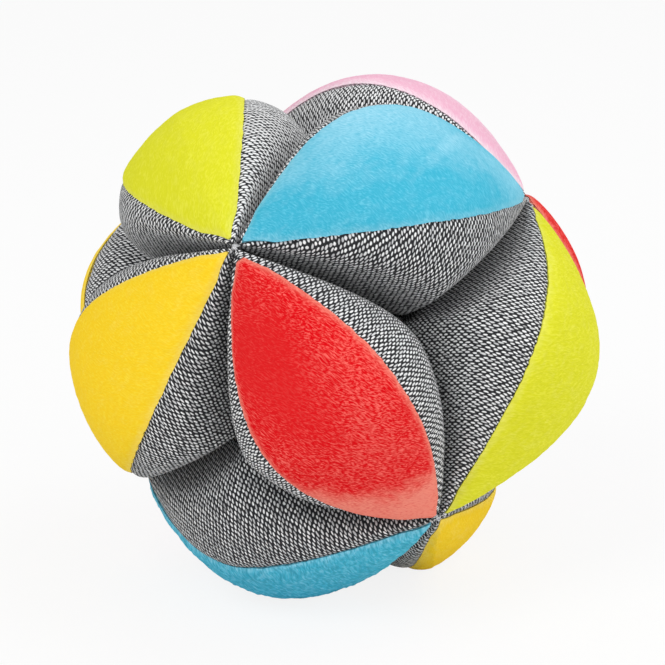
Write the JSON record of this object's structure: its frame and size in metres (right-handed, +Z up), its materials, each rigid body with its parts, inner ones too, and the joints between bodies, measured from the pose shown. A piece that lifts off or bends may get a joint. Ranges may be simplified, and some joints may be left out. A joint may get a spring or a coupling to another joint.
{
  "type": "sensory ball",
  "caption": "Soft puzzle-style baby ball of stuffed leaf-shaped wedges, plush outside and tweed at the sides, tied at their tips so that small fingers can grip the pits between them.",
  "frame": {"origin": "centre of the ball in plan, at the surface that it stands on", "axes": "+Z up through the upper and lower three-sided pits, -Y to the front, towards the red wedge, +X to the right"},
  "size_m": [0.1372, 0.1436, 0.1314],
  "materials": {
    "plush_red": "short cut-pile plush",
    "plush_blue": "short cut-pile plush",
    "plush_lime": "short cut-pile plush",
    "plush_yellow": "short cut-pile plush",
    "plush_pink": "short cut-pile plush",
    "tweed": "coarse black and white basket weave",
    "fibre_filling": "loose white fibre",
    "thread": "twisted sewing thread"
  },
  "bodies": {
    "core": {"tip_knot_front_left_high": "thread", "tip_knot_right_high": "thread", "tip_knot_back_left_high": "thread", "tip_knot_front_right_low": "thread", "tip_knot_left_low": "thread", "tip_knot_back_right_low": "thread"},
    "wedge_top_right": {"plush_panel_top_right": "plush_blue", "tweed_cover_top_right": "tweed", "filling_top_right": "fibre_filling"},
    "wedge_top_back": {"plush_panel_top_back": "plush_pink", "tweed_cover_top_back": "tweed", "filling_top_back": "fibre_filling"},
    "wedge_top_left": {"plush_panel_top_left": "plush_lime", "tweed_cover_top_left": "tweed", "filling_top_left": "fibre_filling"},
    "wedge_front": {"plush_panel_front": "plush_red", "tweed_cover_front": "tweed", "filling_front": "fibre_filling"},
    "wedge_right": {"plush_panel_right": "plush_lime", "tweed_cover_right": "tweed", "filling_right": "fibre_filling"},
    "wedge_back_right": {"plush_panel_back_right": "plush_red", "tweed_cover_back_right": "tweed", "filling_back_right": "fibre_filling"},
    "wedge_back": {"plush_panel_back": "plush_blue", "tweed_cover_back": "tweed", "filling_back": "fibre_filling"},
    "wedge_back_left": {"plush_panel_back_left": "plush_yellow", "tweed_cover_back_left": "tweed", "filling_back_left": "fibre_filling"},
    "wedge_left": {"plush_panel_left": "plush_yellow", "tweed_cover_left": "tweed", "filling_left": "fibre_filling"},
    "wedge_bottom_left": {"plush_panel_bottom_left": "plush_blue", "tweed_cover_bottom_left": "tweed", "filling_bottom_left": "fibre_filling"},
    "wedge_bottom_back": {"plush_panel_bottom_back": "plush_pink", "tweed_cover_bottom_back": "tweed", "filling_bottom_back": "fibre_filling"},
    "wedge_bottom_right": {"plush_panel_bottom_right": "plush_yellow", "tweed_cover_bottom_right": "tweed", "filling_bottom_right": "fibre_filling"}
  },
  "joints": [
    {"name": "rock_top_right", "type": "hinge", "parent": "core", "child": "wedge_top_right", "pos_m": [0.0125, -0.02235, 0.10156], "axis": [0.866, 0.5, 0], "range_deg": [-8, 8], "stiffness_Nm_per_rad": 0.06},
    {"name": "rock_top_back", "type": "hinge", "parent": "core", "child": "wedge_top_back", "pos_m": [0.0125, 0.0222, 0.10156], "axis": [-0.866, 0.5, 0], "range_deg": [-8, 8], "stiffness_Nm_per_rad": 0.06},
    {"name": "rock_top_left", "type": "hinge", "parent": "core", "child": "wedge_top_left", "pos_m": [-0.02608, -0.00007, 0.10156], "axis": [0, -1, 0], "range_deg": [-8, 8], "stiffness_Nm_per_rad": 0.06},
    {"name": "rock_front", "type": "hinge", "parent": "core", "child": "wedge_front", "pos_m": [-0.00036, -0.04462, 0.06519], "axis": [0.5774, 0, -0.8165], "range_deg": [-8, 8], "stiffness_Nm_per_rad": 0.06},
    {"name": "rock_right", "type": "hinge", "parent": "core", "child": "wedge_right", "pos_m": [0.03822, -0.02235, 0.06519], "axis": [0.2887, 0.5, 0.8165], "range_deg": [-8, 8], "stiffness_Nm_per_rad": 0.06},
    {"name": "rock_back_right", "type": "hinge", "parent": "core", "child": "wedge_back_right", "pos_m": [0.03822, 0.0222, 0.06519], "axis": [-0.2887, 0.5, -0.8165], "range_deg": [-8, 8], "stiffness_Nm_per_rad": 0.06},
    {"name": "rock_back", "type": "hinge", "parent": "core", "child": "wedge_back", "pos_m": [-0.00036, 0.04447, 0.06519], "axis": [-0.5774, 0, 0.8165], "range_deg": [-8, 8], "stiffness_Nm_per_rad": 0.06},
    {"name": "rock_back_left", "type": "hinge", "parent": "core", "child": "wedge_back_left", "pos_m": [-0.03894, 0.0222, 0.06519], "axis": [-0.2887, -0.5, -0.8165], "range_deg": [-8, 8], "stiffness_Nm_per_rad": 0.06},
    {"name": "rock_left", "type": "hinge", "parent": "core", "child": "wedge_left", "pos_m": [-0.03894, -0.02235, 0.06519], "axis": [0.2887, -0.5, 0.8165], "range_deg": [-8, 8], "stiffness_Nm_per_rad": 0.06},
    {"name": "rock_bottom_left", "type": "hinge", "parent": "core", "child": "wedge_bottom_left", "pos_m": [-0.01322, -0.02235, 0.02881], "axis": [-0.866, 0.5, 0], "range_deg": [-8, 8], "stiffness_Nm_per_rad": 0.06},
    {"name": "rock_bottom_back", "type": "hinge", "parent": "core", "child": "wedge_bottom_back", "pos_m": [-0.01322, 0.0222, 0.02881], "axis": [0.866, 0.5, 0], "range_deg": [-8, 8], "stiffness_Nm_per_rad": 0.06},
    {"name": "rock_bottom_right", "type": "hinge", "parent": "core", "child": "wedge_bottom_right", "pos_m": [0.02536, -0.00007, 0.02881], "axis": [0, -1, 0], "range_deg": [-8, 8], "stiffness_Nm_per_rad": 0.06}
  ]
}
